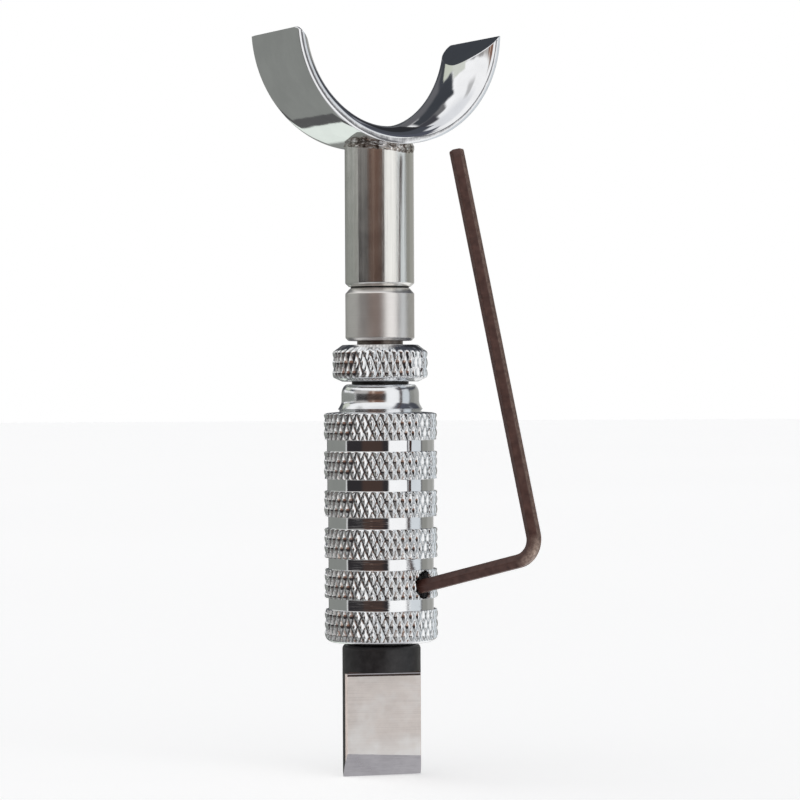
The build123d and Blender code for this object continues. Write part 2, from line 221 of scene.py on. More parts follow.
# ------------------------------------------------------------------ material helper
class Mat:
    """A Principled material and short calls for the nodes that feed it."""

    def __init__(self, name, metallic=1.0, specular=0.5):
        self.mat = bpy.data.materials.new(name)
        self.mat.use_nodes = True
        self.nt = self.mat.node_tree
        self.nt.nodes.clear()
        self.out = self.new("ShaderNodeOutputMaterial")
        self.bsdf = self.new("ShaderNodeBsdfPrincipled")
        self.bsdf.inputs["Metallic"].default_value = metallic
        self.bsdf.inputs["Specular IOR Level"].default_value = specular
        self.nt.links.new(self.bsdf.outputs[0], self.out.inputs["Surface"])
        self.obj = self.new("ShaderNodeTexCoord").outputs["Object"]

    def new(self, kind, **props):
        n = self.nt.nodes.new(kind)
        for k, v in props.items():
            setattr(n, k, v)
        return n

    def link(self, a, b):
        self.nt.links.new(a, b)

    def scaled(self, scale, rotation=(0, 0, 0), vector=None):
        n = self.new("ShaderNodeMapping")
        self.link(vector or self.obj, n.inputs["Vector"])
        n.inputs["Scale"].default_value = scale
        n.inputs["Rotation"].default_value = rotation
        return n.outputs[0]

    def noise(self, scale, detail=3.0, rough=0.5, vector=None, distortion=0.0):
        n = self.new("ShaderNodeTexNoise")
        self.link(vector or self.obj, n.inputs["Vector"])
        n.inputs["Scale"].default_value = scale
        n.inputs["Detail"].default_value = detail
        n.inputs["Roughness"].default_value = rough
        n.inputs["Distortion"].default_value = distortion
        return n.outputs["Fac"]

    def range(self, value, a, b, lo, hi):
        n = self.new("ShaderNodeMapRange", clamp=True)
        self.link(value, n.inputs["Value"])
        for key, v in (("From Min", a), ("From Max", b), ("To Min", lo), ("To Max", hi)):
            n.inputs[key].default_value = v
        return n.outputs["Result"]

    def ramp(self, value, stops):
        n = self.new("ShaderNodeValToRGB")
        self.link(value, n.inputs["Fac"])
        while len(n.color_ramp.elements) < len(stops):
            n.color_ramp.elements.new(0.5)
        for e, (pos, rgb) in zip(n.color_ramp.elements, stops):
            e.position = pos
            e.color = (*rgb, 1.0)
        return n.outputs["Color"]

    def mix(self, fac, a, b):
        n = self.new("ShaderNodeMix", data_type="RGBA", blend_type="MIX")
        self.link(fac, n.inputs["Factor"])
        for key, v in (("A", a), ("B", b)):
            if isinstance(v, tuple):
                n.inputs[key].default_value = (*v, 1.0)
            else:
                self.link(v, n.inputs[key])
        return n.outputs["Result"]

    def maths(self, op, a, b=None):
        n = self.new("ShaderNodeMath", operation=op)
        for i, v in enumerate((a, b)):
            if v is None:
                continue
            if isinstance(v, (int, float)):
                n.inputs[i].default_value = v
            else:
                self.link(v, n.inputs[i])
        return n.outputs[0]

    def attribute(self, name):
        return self.new("ShaderNodeAttribute", attribute_name=name).outputs["Fac"]

    def separate(self, vector):
        n = self.new("ShaderNodeSeparateXYZ")
        self.link(vector, n.inputs[0])
        return n.outputs

    def colour(self, socket):
        self.link(socket, self.bsdf.inputs["Base Color"])

    def rough(self, socket):
        self.link(socket, self.bsdf.inputs["Roughness"])

    def bump(self, *pairs):
        """pairs are (height, strength, distance in metres), the coarsest first."""
        normal = None
        for height, strength, distance in pairs:
            n = self.new("ShaderNodeBump")
            self.link(height, n.inputs["Height"])
            n.inputs["Strength"].default_value = strength
            n.inputs["Distance"].default_value = distance
            if normal is not None:
                self.link(normal, n.inputs["Normal"])
            normal = n.outputs[0]
        self.link(normal, self.bsdf.inputs["Normal"])


def floor_material():
    m = bpy.data.materials.new("pale_floor")
    m.use_nodes = True
    nt = m.node_tree
    nt.nodes.clear()
    out = nt.nodes.new("ShaderNodeOutputMaterial")
    add = nt.nodes.new("ShaderNodeAddShader")
    diff = nt.nodes.new("ShaderNodeBsdfDiffuse")
    emit = nt.nodes.new("ShaderNodeEmission")
    tex = nt.nodes.new("ShaderNodeTexNoise")
    tex.inputs["Scale"].default_value = 40.0
    ramp = nt.nodes.new("ShaderNodeValToRGB")
    ramp.color_ramp.elements[0].color = (0.80, 0.80, 0.80, 1)
    ramp.color_ramp.elements[1].color = (0.84, 0.84, 0.84, 1)
    nt.links.new(tex.outputs["Fac"], ramp.inputs[0])
    nt.links.new(ramp.outputs[0], diff.inputs["Color"])
    emit.inputs["Color"].default_value = (1.0, 1.0, 1.0, 1.0)
    emit.inputs["Strength"].default_value = 0.50
    nt.links.new(diff.outputs[0], add.inputs[0])
    nt.links.new(emit.outputs[0], add.inputs[1])
    nt.links.new(add.outputs[0], out.inputs["Surface"])
    return m


floor_me.materials.append(floor_material())


def chrome(name, light, dark, r0, r1, scratch=0.02):
    """Polished plating: faint smudges, hairlines and a slow unevenness of the polish."""
    m = Mat(name)
    smudge = m.noise(260, 6, 0.6)
    m.colour(m.ramp(smudge, [(0.35, dark), (0.62, light)]))
    fine = m.noise(2600, 4, 0.6)
    m.rough(m.range(m.maths("MULTIPLY", smudge, fine), 0.12, 0.40, r0, r1))
    hair = m.noise(1.0, 3, 0.6, vector=m.scaled((9000, 9000, 500), (0.3, 0.2, 0.0)))
    m.bump((m.noise(420, 2, 0.5), 0.05, 0.0002), (hair, scratch, 0.00003))
    return m.mat


def recess(name):
    """Polished plating of the recesses: the lower three still show turning lines."""
    m = Mat(name)
    smudge = m.noise(300, 6, 0.6)
    m.colour(m.ramp(smudge, [(0.35, (0.86, 0.868, 0.88)), (0.62, (0.92, 0.927, 0.94))]))
    m.rough(m.range(smudge, 0.3, 0.7, 0.03, 0.08))
    low = m.range(m.separate(m.obj)[2], 0.0310, 0.0325, 1.0, 0.12)
    lines = m.noise(1.0, 2, 0.6, vector=m.scaled((160, 160, 9000)))
    m.bump((m.noise(420, 2, 0.5), 0.06, 0.0002), (m.maths("MULTIPLY", lines, low), 0.35, 0.00004))
    return m.mat


def knurled(name):
    """Plated knurl: bright peaks, duller grooves, and painted shade that darkens the grooves by a mottled amount."""
    m = Mat(name)
    height = m.attribute("height")
    shade_mottle = m.noise(900, 5, 0.65)
    # painted shade: the lower a point sits in a groove, the more its colour goes to the grey below, varied by noise;
    # the same mask makes the grooves duller
    groove_shade_mask = m.maths("MULTIPLY", m.range(height, 0.0, 0.55, 1.0, 0.0), m.range(shade_mottle, 0.35, 0.65, 0.35, 1.0))
    peak_tone = m.ramp(m.noise(300, 5, 0.6), [(0.35, (0.90, 0.915, 0.93)), (0.65, (0.97, 0.98, 0.99))])
    m.colour(m.mix(groove_shade_mask, peak_tone, (0.50, 0.51, 0.52)))
    m.rough(m.range(groove_shade_mask, 0.0, 1.0, 0.06, 0.16))
    m.bump((m.noise(2400, 3, 0.6), 0.10, 0.00006))
    return m.mat


def drawn(name):
    """Plated tube with faint lengthwise draw lines and a warm cast."""
    m = Mat(name)
    streak = m.noise(1.0, 4, 0.65, vector=m.scaled((2600, 2600, 26)))
    broad = m.noise(1.0, 2, 0.5, vector=m.scaled((620, 620, 12)))
    tint = m.maths("ADD", m.maths("MULTIPLY", streak, 0.4), m.maths("MULTIPLY", broad, 0.6))
    m.colour(m.ramp(tint, [(0.36, (0.745, 0.735, 0.695)), (0.62, (0.935, 0.93, 0.90))]))
    m.rough(m.range(m.noise(500, 5, 0.6), 0.3, 0.7, 0.14, 0.22))
    m.bump((broad, 0.20, 0.00025), (streak, 0.40, 0.00005))
    return m.mat


def turned(name, light, dark, r0, r1, pitch=16000, depth=0.25):
    """Lathe-turned steel with fine lines round it."""
    m = Mat(name)
    lines = m.noise(1.0, 3, 0.7, vector=m.scaled((40, 40, pitch)))
    cloud = m.noise(500, 5, 0.6)
    m.colour(m.ramp(m.maths("ADD", m.maths("MULTIPLY", lines, 0.5), m.maths("MULTIPLY", cloud, 0.5)), [(0.38, dark), (0.62, light)]))
    m.rough(m.range(cloud, 0.3, 0.7, r0, r1))
    m.bump((lines, depth, 0.00002))
    return m.mat


def braze(name):
    m = Mat(name)
    blotch = m.noise(1500, 5, 0.7, distortion=0.6)
    m.colour(m.ramp(blotch, [(0.38, (0.07, 0.05, 0.04)), (0.48, (0.42, 0.37, 0.33)), (0.58, (0.92, 0.90, 0.88))]))
    m.rough(m.range(blotch, 0.35, 0.65, 0.30, 0.06))
    m.bump((m.noise(2200, 4, 0.6), 0.45, 0.00010))
    return m.mat


def ground(name, scale, rotation, light, dark, r0, r1, pale=None):
    """Surface-ground steel: fine parallel grinding lines and a few deeper ones. Given pale, a painted highlight
    lightens the surface towards the bottom.
    """
    m = Mat(name)
    along = m.scaled(scale, rotation)
    lines = m.noise(1.0, 5, 0.75, vector=along)
    deep = m.noise(1.0, 1, 0.5, vector=m.scaled(tuple(v * 0.16 for v in scale), rotation))
    cloud = m.noise(330, 4, 0.6)
    tone = m.maths("ADD", m.maths("MULTIPLY", lines, 0.45), m.maths("MULTIPLY", cloud, 0.55))
    base = m.ramp(tone, [(0.40, dark), (0.60, light)])
    if pale is not None:
        # painted highlight: the colour goes to pale below about 6 mm, fully so below about 2 mm, broken up by noise
        painted_glare_mask = m.maths("ADD", m.range(m.separate(m.obj)[2], 0.0022, 0.0062, 1.0, 0.0), m.range(m.noise(260, 3, 0.6), 0.40, 0.66, -0.25, 0.55))
        base = m.mix(m.range(painted_glare_mask, 0.0, 1.0, 0.0, 1.0), base, pale)
    m.colour(base)
    m.rough(m.range(cloud, 0.3, 0.7, r0, r1))
    m.bump((m.range(deep, 0.62, 0.72, 0.0, -1.0), 0.10, 0.00003), (lines, 0.30, 0.00003))
    return m.mat


def oxide(name, dark, light, r0, r1, highlight_colour=None):
    """Dark satin finish, mottled: black oxide on steel, and near-black painted shade on the washers. Given a second
    colour, that colour is mixed in as a painted highlight where a point attribute asks for it, broken up by noise.
    """
    m = Mat(name, metallic=0.0, specular=0.5)
    mottle = m.noise(1100, 6, 0.65)
    base = m.ramp(mottle, [(0.35, dark), (0.68, light)])
    if highlight_colour is not None:
        # painted highlight: the pale colour is mixed in by the point attribute, broken up by noise
        highlight_speckle = m.maths("MULTIPLY", m.attribute("key_highlight"), m.range(m.noise(2200, 5, 0.7), 0.40, 0.60, 0.35, 1.0))
        base = m.mix(highlight_speckle, base, highlight_colour)
    m.colour(base)
    m.rough(m.range(m.noise(700, 4, 0.6), 0.3, 0.7, r0, r1))
    m.bump((m.noise(3200, 4, 0.6), 0.22, 0.00004))
    return m.mat


def brass(name):
    m = Mat(name)
    cloud = m.noise(900, 5, 0.6)
    m.colour(m.ramp(cloud, [(0.35, (0.55, 0.36, 0.13)), (0.65, (0.78, 0.58, 0.25))]))
    m.rough(m.range(cloud, 0.3, 0.7, 0.22, 0.38))
    m.bump((m.noise(3000, 3, 0.6), 0.1, 0.00003))
    return m.mat


M_YOKE = chrome("yoke_chrome", (0.90, 0.905, 0.92), (0.82, 0.825, 0.84), 0.02, 0.07)
M_POST = drawn("post_chrome")
M_BRAZE = braze("braze_metal")
M_SATIN = turned("spindle_satin", (0.95, 0.925, 0.90), (0.86, 0.835, 0.81), 0.32, 0.40, 22000, 0.12)
M_THREAD = turned("thread_steel", (0.22, 0.19, 0.17), (0.12, 0.10, 0.09), 0.26, 0.38)
M_KNURL = knurled("knurl_chrome")
M_SMOOTH = recess("recess_chrome")
M_NECK = chrome("neck_chrome", (0.90, 0.912, 0.93), (0.82, 0.832, 0.85), 0.15, 0.21, 0.03)
# the flats carry a painted highlight towards the bottom
M_FLAT = ground("blade_ground", (60, 60, 9000), (0, 0, 0), (0.95, 0.885, 0.845), (0.76, 0.70, 0.665), 0.30, 0.40, pale=(1.0, 0.985, 0.97))
# painted highlight: a pale, dull strip on the eased long edges of the flats and on the round side beside them
M_EDGE = ground("edge_highlight", (900, 900, 3000), (0, 0, 0), (0.92, 0.82, 0.77), (0.80, 0.70, 0.65), 0.66, 0.78)
next(n for n in M_EDGE.node_tree.nodes if n.type == "BSDF_PRINCIPLED").inputs["Metallic"].default_value = 0.25
M_BEVEL = ground("bevel_ground", (500, 500, 8000), (0.0, 0.35, 0.0), (0.74, 0.72, 0.74), (0.58, 0.56, 0.58), 0.26, 0.36)
M_BLADE_OX = oxide("blade_oxide", (0.012, 0.011, 0.012), (0.028, 0.026, 0.028), 0.34, 0.48)
M_ROOT = oxide("root_oxide", (0.03, 0.014, 0.010), (0.07, 0.035, 0.025), 0.40, 0.55)
# the key's paler colour is a painted highlight along one facet and round the outside of the bend
M_KEY = oxide("key_oxide", (0.052, 0.019, 0.014), (0.098, 0.044, 0.034), 0.38, 0.52, highlight_colour=(0.50, 0.38, 0.31))
M_SCREW = oxide("screw_oxide", (0.012, 0.011, 0.011), (0.030, 0.027, 0.026), 0.35, 0.5)
M_BEARING = turned("bearing_steel", (0.70, 0.70, 0.71), (0.56, 0.56, 0.57), 0.12, 0.22, 12000, 0.15)
M_BALL = chrome("ball_steel", (0.80, 0.80, 0.82), (0.70, 0.70, 0.72), 0.03, 0.08)
M_SHIELD = turned("shield_steel", (0.66, 0.66, 0.67), (0.52, 0.52, 0.53), 0.18, 0.30, 14000, 0.2)
# painted shade: the washers are near-black so that the gap under the nut reads as shadow
M_WASHER = oxide("washer_painted_shade", (0.010, 0.009, 0.008), (0.022, 0.020, 0.018), 0.45, 0.6)
M_BRASS = brass("cage_brass")


# ------------------------------------------------------------------ mesh helpers
def piece(name, verts, faces, body, mats, replaces=(), sharp=35.0, index=None, height=None):
    """A smooth-shaded mesh object in metres from vertices in millimetres, riding on a body."""
    me = bpy.data.meshes.new(name)
    me.from_pydata((np.asarray(verts) * MM).tolist(), [], faces)
    for m in mats:
        me.materials.append(m)
    if index is not None:
        me.polygons.foreach_set("material_index", np.asarray(index, np.int32))
    me.polygons.foreach_set("use_smooth", np.ones(len(me.polygons), bool))
    if height is not None:
        a = me.attributes.new("height", "FLOAT", "POINT")
        a.data.foreach_set("value", np.asarray(height, np.float32))
    me.update()
    me.set_sharp_from_angle(angle=math.radians(sharp))
    o = bpy.data.objects.new(name, me)
    scene.collection.objects.link(o)
    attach(o, body)
    if replaces:
        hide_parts(*replaces)
    return o


def lathe(stations, cols, closed=False, split=None):
    """Vertices and faces of a surface of revolution. Each station is (r, z), numbers or arrays
    over the columns; r = 0 is a pole. split(i) gives None or, per column, which diagonal
    the quads between station i and the next are cut along."""
    th = np.arange(cols) * 2 * PI / cols
    co, rows, n = [], [], 0
    for r, z in stations:
        if np.ndim(r) == 0 and abs(r) < 1e-9:
            co.append(np.array([[0.0, 0.0, float(z)]]))
            rows.append((n, 1))
            n += 1
        else:
            r = np.broadcast_to(np.asarray(r, float), (cols,))
            z = np.broadcast_to(np.asarray(z, float), (cols,))
            co.append(np.stack([r * np.cos(th), r * np.sin(th), z], 1))
            rows.append((n, cols))
            n += cols
    faces, source = [], []
    last = len(stations) if closed else len(stations) - 1
    nxt = (np.arange(cols) + 1) % cols
    for i in range(last):
        (a, na), (b, nb) = rows[i], rows[(i + 1) % len(stations)]
        if na == 1 and nb == 1:
            continue
        diag = split(i) if split else None
        for j in range(cols):
            k = int(nxt[j])
            if na == 1:
                faces.append((a, b + k, b + j))
                source.append(i)
            elif nb == 1:
                faces.append((a + j, a + k, b))
                source.append(i)
            elif diag is None:
                faces.append((a + j, a + k, b + k, b + j))
                source.append(i)
            elif diag[j]:
                faces += [(a + j, a + k, b + k), (a + j, b + k, b + j)]
                source += [i, i]
            else:
                faces += [(a + j, a + k, b + j), (a + k, b + k, b + j)]
                source += [i, i]
    return np.concatenate(co), faces, np.array(source)


def arc(cx, cz, r, a0, a1, n):
    return [
        (cx + r * math.cos(math.radians(a0 + (a1 - a0) * i / n)), cz + r * math.sin(math.radians(a0 + (a1 - a0) * i / n)))
        for i in range(n + 1)
    ]


def applied(obj):
    """The object's mesh with its modifiers worked in."""
    dg = bpy.context.evaluated_depsgraph_get()
    me = bpy.data.meshes.new_from_object(obj.evaluated_get(dg), preserve_all_data_layers=True, depsgraph=dg)
    old = obj.data
    obj.modifiers.clear()
    obj.data = me
    if old.users == 0:
        bpy.data.meshes.remove(old)
    return me


def combine(obj, tool, operation):
    """obj joined with, or cut by, tool. The tool is used up."""
    mod = obj.modifiers.new("cut", "BOOLEAN")
    mod.object = tool
    mod.operation = operation
    mod.solver = "EXACT"
    bpy.context.view_layer.update()
    applied(obj)
    data = tool.data
    bpy.data.objects.remove(tool)
    bpy.data.meshes.remove(data)


def loose(name, verts, faces, mats=()):
    me = bpy.data.meshes.new(name)
    me.from_pydata((np.asarray(verts) * MM).tolist(), [], faces)
    for m in mats:
        me.materials.append(m)
    me.update()
    o = bpy.data.objects.new(name, me)
    scene.collection.objects.link(o)
    return o


# ------------------------------------------------------------------ yoke
YR, YCX, YCZ = 13.57, -0.25, 86.47
HALF, EDGE, DOME = 5.47, 0.58, 1.80


def build_yoke():
    rnd = 0.07
    sec = []  # (radius, y), round the section
    n_flat = 14
    for i in range(n_flat + 1):
        sec.append((YR, -HALF + rnd + (2 * HALF - 2 * rnd) * i / n_flat))
    for a in (30, 60):
        sec.append((YR - rnd + rnd * math.cos(math.radians(a)), HALF - rnd + rnd * math.sin(math.radians(a))))
    sec.append((YR - rnd, HALF))
    sec.append((YR - EDGE * 0.55, HALF))
    n = 104
    for i in range(n + 1):
        t = PI * i / n
        y = HALF * math.cos(t)
        r = YR - EDGE - DOME * math.sin(t)
        sec.append((r, y))
    sec.append((YR - EDGE * 0.55, -HALF))
    sec.append((YR - rnd, -HALF))
    for a in (60, 30):
        sec.append((YR - rnd + rnd * math.cos(math.radians(a)), -HALF + rnd - rnd * math.sin(math.radians(a))))
    ns = len(sec)
    a0, a1 = -86.0, 88.0
    # The inside of each arm is dressed down to a thin end: s is the distance from the
    # end along the bend, and the dome is cut to the height of the dressed face there.
    span = math.radians(a1 - a0) * YR
    near = [0.0, 0.02, 0.05] + [0.05 * i for i in range(2, 92)]
    mid = 150
    gap = span - 2 * near[-1]
    dist = near + [near[-1] + gap * i / mid for i in range(1, mid)] + [span - s for s in near[::-1]]
    verts = []
    for d in dist:
        ang = a0 + math.degrees(d / YR)
        a = math.radians(ang)
        s = min(d, span - d)
        left = d < span / 2
        top = 0.10 + 2.40 * (1 - max(0.0, 1 - s / 4.6) ** 1.7)
        for r, y in sec:
            # one corner of each arm is rounded in plan, the other left crisp
            rad = 0.42 if (y < 0) == left else 0.07
            plan = rad * (1 - math.sqrt(max(0.0, 1 - (1 - min(1.0, s / rad)) ** 2)))
            yy = y * (1 - plan / HALF)
            h = YR - r
            if h > EDGE:
                w = noise.noise(Vector((ang * 0.045, yy * 0.22, 3.1))) * 0.030
                w += noise.noise(Vector((ang * 0.10, yy * 0.35, 9.7))) * 0.010
                h = h - w * min(1.0, h - EDGE)
            # a narrow soft blend where the dressed face meets the dome
            soft = 0.03
            t = max(-1.0, min(1.0, (h - top) / soft))
            h = h if t <= -1 else (top if t >= 1 else h - soft * (t + 1) ** 2 / 4)
            verts.append((YCX + (YR - h) * math.sin(a), yy, YCZ - (YR - h) * math.cos(a)))
    seq = dist
    faces = []
    for i in range(len(seq) - 1):
        for j in range(ns):
            k = (j + 1) % ns
            faces.append((i * ns + j, (i + 1) * ns + j, (i + 1) * ns + k, i * ns + k))
    # end caps: a fan of triangles round the centre of the half-oval
    verts_np = np.array(verts)
    for base, flip in ((0, False), ((len(seq) - 1) * ns, True)):
        loop = [base + j for j in range(ns)]
        c = verts_np[loop].mean(0)
        verts_np = np.vstack([verts_np, c])
        ci = len(verts_np) - 1
        for j in range(ns):
            k = (j + 1) % ns
            f = (loop[j], loop[k], ci)
            faces.append(f[::-1] if flip else f)
    return piece("finger_yoke", verts_np, faces, "yoke", [M_YOKE], ["yoke"], sharp=32)


# ------------------------------------------------------------------ post and braze
def under_yoke(r, th, gap=0.0):
    x = r * np.cos(th) - YCX
    return YCZ - np.sqrt((YR + gap) ** 2 - x**2)


def braze_low(th):
    """Lower edge of the braze bead round the post, by direction."""
    view = math.atan2(BACK.y, BACK.x)
    a = np.degrees((th - view + PI) % (2 * PI) - PI)  # 0 towards the camera, positive to its right
    knots_a = [-180, -130, -90, -45, 0, 30, 60, 90, 130, 180]
    knots_z = [72.35, 72.6, 72.88, 72.66, 72.42, 72.10, 72.02, 72.30, 72.2, 72.35]
    return np.interp(a, knots_a, knots_z)


def build_post():
    cols = 192
    th = np.arange(cols) * 2 * PI / cols
    low = braze_low(th) + 0.12
    top = under_yoke(3.68, th) - 0.01
    st = [(3.0, 56.70), (3.56, 56.70)]
    st += [(3.60, 56.71), (3.63, 56.73)]
    st += [(3.97, 57.06), (3.99, 57.09), (4.0, 57.13), (4.0, 57.18)]
    for i in range(1, 10):
        st.append((4.0, 57.13 + (71.7 - 57.13) * i / 9))
    st += [(4.0, low - 0.05), (4.0, low), (3.70, low + 0.04), (3.68, top), (3.0, under_yoke(3.0, th) - 0.01)]
    st += [(1.5, under_yoke(1.5, th) - 0.01), (0, YCZ - YR - 0.01)]
    # the bore, from its blind top down
    outer = len(st)
    bore = [(0, 70.5), (3.0, 69.4), (3.0, 62.0), (3.0, 56.70)]
    v1, f1, _ = lathe(st[:], cols)
    v2, f2, _ = lathe(bore, cols)
    # the bore's faces look inward
    off = len(v1)
    last = len(v2) - cols
    faces = list(f1)
    for f in f2:
        g = []
        for i in f:
            g.append(i - last if i >= last else i + off)
        faces.append(tuple(g))
    verts = np.vstack([v1, v2[:last]])
    return piece("post", verts, faces, "yoke", [M_POST], ["yoke_post"], sharp=22)


def build_braze():
    cols, rows = 260, 20
    th = np.arange(cols) * 2 * PI / cols
    low = braze_low(th)
    ragged = np.array([noise.noise(Vector((math.cos(t) * 4.2, math.sin(t) * 4.2, 1.7))) for t in th])
    ragged += 0.5 * np.array([noise.noise(Vector((math.cos(t) * 11, math.sin(t) * 11, 5.2))) for t in th])
    low = np.clip(low + 0.16 * ragged, 71.80, 72.95)
    top = under_yoke(3.95, th) - 0.005
    st = [(3.75, low + 0.02)]
    for i in range(rows + 1):
        s = i / rows
        bulge = math.sin(PI * min(1.0, s * 1.15)) ** 0.7 if s < 0.87 else 0.0
        lean = -0.30 * max(0.0, s - 0.45) ** 1.3
        z = low + (top - low) * s
        lump = np.array(
            [
                noise.noise(Vector((math.cos(t) * 5.0, math.sin(t) * 5.0, zz * 1.6)))
                + 0.6 * noise.noise(Vector((math.cos(t) * 12.0, math.sin(t) * 12.0, zz * 4.0)))
                for t, zz in zip(th, z)
            ]
        )
        r = 4.005 + 0.075 * bulge + lean + 0.075 * lump * (0.35 + bulge)
        st.append((np.minimum(r, 4.135), z))
    st.append((3.75, top))
    verts, faces, _ = lathe(st, cols, closed=True)
    return piece("braze_ring", verts, faces, "yoke", [M_BRAZE], ["braze_bead"], sharp=60)


# ------------------------------------------------------------------ spindle
def build_spindle():
    cols = 96
    th = np.arange(cols) * 2 * PI / cols
    pitch, major, minor = 0.8, 2.5, 2.01
    st, tags = [(0, 32.0), (1.4, 32.0), (1.95, 32.08)], []
    rows = 10
    z = 32.2
    while z < 49.6:
        ph = (z / pitch - th / (2 * PI)) % 1.0
        tri = 1 - np.abs(2 * ph - 1)
        prof = np.clip((tri - 0.12) / 0.72, 0, 1)
        grow = min(1.0, max(0.0, (z - 32.05) / 0.7))
        r = minor + (major - minor) * prof
        r = np.minimum(r, 1.95 + (major - 1.95) * grow)
        run_out = min(1.0, max(0.0, (z - 48.9) / 0.6))
        r = r + (2.25 - r) * run_out
        st.append((r, z))
        z += pitch / rows
    thread_end = len(st)
    st += [(2.25, 49.70), (2.25, 49.95), (2.64, 50.0), (2.66, 50.03), (2.66, 50.44)]
    st += [(3.62, 50.44), (3.70, 50.46)] + [(3.98, 50.74), (4.0, 50.80), (4.0, 50.86)]
    for i in range(1, 5):
        st.append((4.0, 50.86 + (55.80 - 50.86) * i / 4))
    st += [(4.0, 55.85), (3.985, 55.90), (3.95, 55.95), (3.50, 56.45), (3.45, 56.49), (3.38, 56.50)]
    st += [(1.9, 56.50), (1.9, 57.0), (1.5, 57.0), (1.5, 66.9), (1.0, 66.9), (1.0, 61.45), (0, 60.9)]
    verts, faces, src = lathe(st, cols)
    # the thread and the short neck above the nut take the dark steel
    index = np.where(src < thread_end + 4, 1, 0)
    return piece("spindle_turned", verts, faces, "spindle", [M_SATIN, M_THREAD], ["spindle"], sharp=26, index=index)


# ------------------------------------------------------------------ knurled parts
class Knurl:
    def __init__(self, count, row, z_ref, depth, radius, sub):
        self.count, self.row, self.z_ref = count, row, z_ref
        self.depth, self.radius, self.sub = depth, radius, sub
        self.cols = 2 * count * sub
        self.th = np.arange(self.cols) * 2 * PI / self.cols

    def height(self, z):
        u = self.count * self.th / (2 * PI) + (z - self.z_ref) / (2 * self.row)
        v = self.count * self.th / (2 * PI) - (z - self.z_ref) / (2 * self.row)
        tu = 1 - np.abs(2 * np.mod(u, 1) - 1)
        tv = 1 - np.abs(2 * np.mod(v, 1) - 1)
        h = np.minimum(tu, tv)
        h = 0.62 * h + 0.38 * (0.5 - 0.5 * np.cos(PI * h))
        return np.where(h > 0.86, 0.86 + (h - 0.86) * 0.5, h)

    def lattice(self, z0, z1):
        step = self.row / self.sub
        k0 = math.ceil((z0 - self.z_ref) / step - 1e-6)
        out = []
        while True:
            z = self.z_ref + k0 * step
            if z >= z1 - 0.02:
                return out
            if z > z0 + 0.02:
                out.append(z)
            k0 += 1

    def ring(self, env, z):
        h = self.height(z)
        wave = np.array([noise.noise(Vector((math.cos(t) * 2.2, math.sin(t) * 2.2, z * 0.5))) for t in self.th[:: self.sub]])
        wave = np.repeat(wave, self.sub)[: self.cols]
        r = self.radius - self.depth * (1 - h) * (1 + 0.10 * wave)
        return np.minimum(r, env), h

    def diagonal(self, zm):
        bi = np.floor((np.arange(self.cols) + 0.5) / self.sub).astype(int)
        bj = math.floor((zm - self.z_ref) / self.row)
        return ((bi + bj) % 2) == 0


def crisp(me, knurl_angle, plain_angle):
    """Sharp edges: a wide limit on the knurl, a narrow one on the plain turned faces."""
    bm = bmesh.new()
    bm.from_mesh(me)
    ka, pa = math.radians(knurl_angle), math.radians(plain_angle)
    for e in bm.edges:
        if len(e.link_faces) != 2:
            continue
        a, b = e.link_faces
        limit = ka if a.material_index == 0 and b.material_index == 0 else pa
        e.smooth = e.calc_face_angle(0.0) < limit
    bm.to_mesh(me)
    bm.free()


def knurled_lathe(kn, outline, inner):
    """outline: (r, z, cut) going up the outside, cut True where the knurl reaches; inner: (r, z)
    down the inside. Returns what piece() takes."""
    st, hs, cut = [], [], []
    for i, (r, z, c) in enumerate(outline):
        def add(rr, zz, cc):
            if cc:
                ring, h = kn.ring(rr, zz)
                st.append((ring, zz))
                hs.append(h)
            else:
                st.append((rr, zz))
                hs.append(np.ones(kn.cols))
            cut.append(cc)

        add(r, z, c)
        if i + 1 < len(outline):
            r2, z2, c2 = outline[i + 1]
            if c and c2:
                for zz in kn.lattice(z, z2):
                    add(r + (r2 - r) * (zz - z) / (z2 - z), zz, True)
    for r, z in inner:
        st.append((r, z))
        hs.append(np.ones(kn.cols))
        cut.append(False)

    def split(i):
        j = (i + 1) % len(st)
        if cut[i] and cut[j]:
            return kn.diagonal((st[i][1] + st[j][1]) / 2)
        return None

    verts, faces, src = lathe(st, kn.cols, closed=True, split=split)
    band = np.array([cut[i] and cut[(i + 1) % len(st)] for i in range(len(st))])
    level = np.array([0.5 * (float(np.mean(st[i][1])) + float(np.mean(st[(i + 1) % len(st)][1]))) for i in range(len(st))])
    index = np.where(band[src], 0, np.where((level[src] > 42.15) & (level[src] < 45.6), 2, 1))
    return verts, faces, index, np.concatenate(hs)


def build_nut():
    kn = Knurl(39, 1.20, 47.84, 0.33, 5.55, 4)
    outline = [
        (2.525, 45.72, False), (4.36, 45.72, False), (4.45, 45.74, True), (5.40, 46.17, True), (5.55, 46.42, True),
        (5.55, 49.02, True), (5.42, 49.20, True), (4.44, 49.91, True), (4.36, 49.95, False), (2.90, 49.95, False),
        (2.85, 49.90, False), (2.85, 49.45, False), (2.525, 49.15, False),
    ]
    inner = [(2.525, 48.0), (2.525, 46.8)]
    verts, faces, index, h = knurled_lathe(kn, outline, inner)
    o = piece("knurled_nut", verts, faces, "lock_nut", [M_KNURL, M_SMOOTH], ["lock_nut"], sharp=68, index=index, height=h)
    crisp(o.data, 68, 24)
    return o


